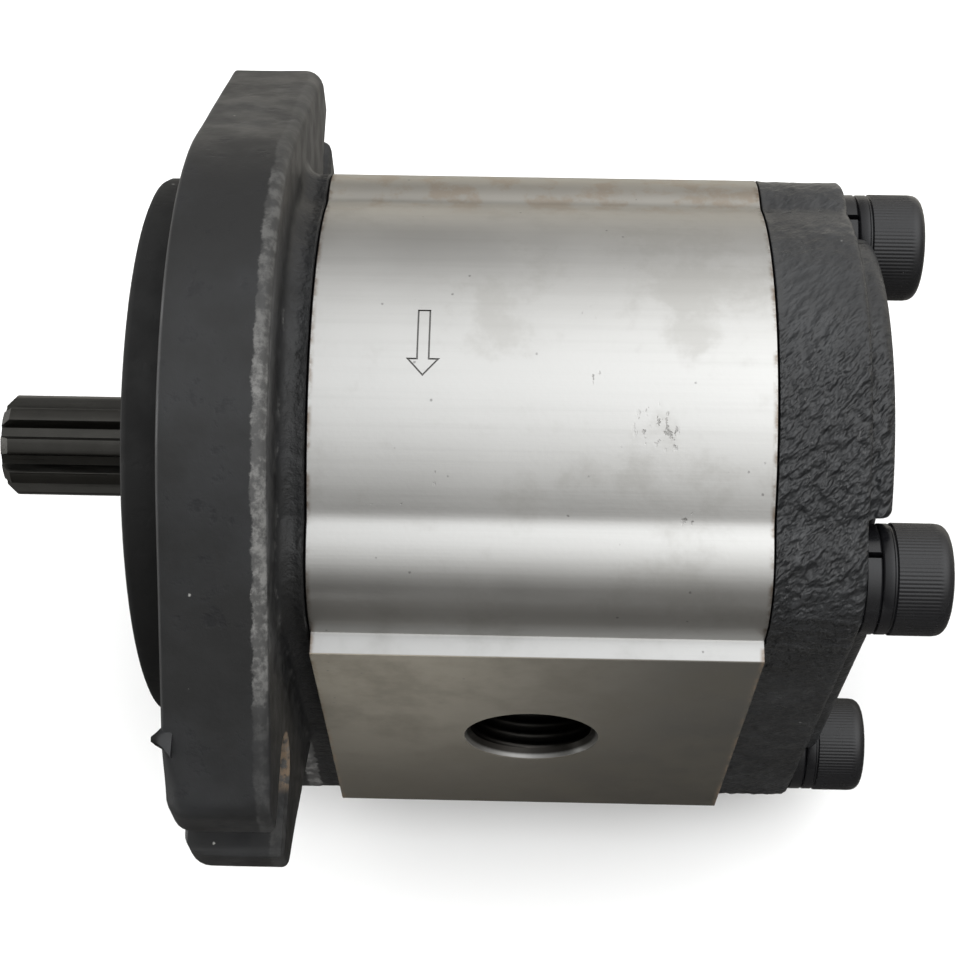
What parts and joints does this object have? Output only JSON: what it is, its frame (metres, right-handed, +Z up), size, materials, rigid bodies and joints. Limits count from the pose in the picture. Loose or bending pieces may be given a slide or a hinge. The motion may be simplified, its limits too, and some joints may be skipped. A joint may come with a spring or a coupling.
{
  "type": "hydraulic gear pump",
  "caption": "External gear pump with a splined drive shaft, a two-bolt mounting flange, an extruded body with side ports, and cast end covers held by long cap screws.",
  "frame": {"origin": "centre of the bounding box in X and Y, at the lowest point of the housing", "axes": "+X along the drive shaft from its splined end to the rear cover, +Z up from the driven gear to the drive shaft, -Y out of the inlet port"},
  "size_m": [0.14, 0.128, 0.1245],
  "materials": {
    "black_paint": "black painted casting, satin, coarse cast texture on the rims",
    "bare_aluminium": "bare extrusion, satin, fine pits and scratches",
    "dark_steel": "dark heat-treated steel",
    "black_oxide": "black oxide",
    "ground_steel": "ground",
    "cast_aluminium": "machined",
    "bronze_lining": "sintered lining",
    "black_rubber": "matte",
    "white_plastic": "matte"
  },
  "bodies": {
    "housing": {"front_cover": "black_paint", "pump_body": "bare_aluminium", "rear_cover": "black_paint", "front_bearing_block": "cast_aluminium", "rear_bearing_block": "cast_aluminium", "front_drive_bush": "bronze_lining", "front_driven_bush": "bronze_lining", "rear_drive_bush": "bronze_lining", "rear_driven_bush": "bronze_lining", "front_body_seal": "black_rubber", "rear_body_seal": "black_rubber", "front_pressure_seal": "black_rubber", "rear_pressure_seal": "black_rubber", "front_backup_ring": "white_plastic", "rear_backup_ring": "white_plastic", "shaft_seal": "black_rubber", "seal_retaining_ring": "ground_steel", "dowel_1": "ground_steel", "dowel_2": "ground_steel", "dowel_3": "ground_steel", "dowel_4": "ground_steel", "cap_screw_1": "black_oxide", "cap_screw_2": "black_oxide", "cap_screw_3": "black_oxide", "cap_screw_4": "black_oxide", "spring_washer_1": "black_oxide", "spring_washer_2": "black_oxide", "spring_washer_3": "black_oxide", "spring_washer_4": "black_oxide"},
    "drive": {"drive_shaft": "dark_steel"},
    "driven": {"driven_gear": "ground_steel"}
  },
  "joints": [
    {"name": "drive_shaft_spin", "type": "hinge", "parent": "housing", "child": "drive", "pos_m": [-0.07, 0, 0.075], "axis": [1, 0, 0], "continuous": true},
    {"name": "driven_gear_spin", "type": "hinge", "parent": "housing", "child": "driven", "pos_m": [0.01238, 0, 0.039], "axis": [1, 0, 0], "continuous": true}
  ],
  "couplings": [
    {"joint": "driven_gear_spin", "follows": "drive_shaft_spin", "ratio": -1}
  ]
}
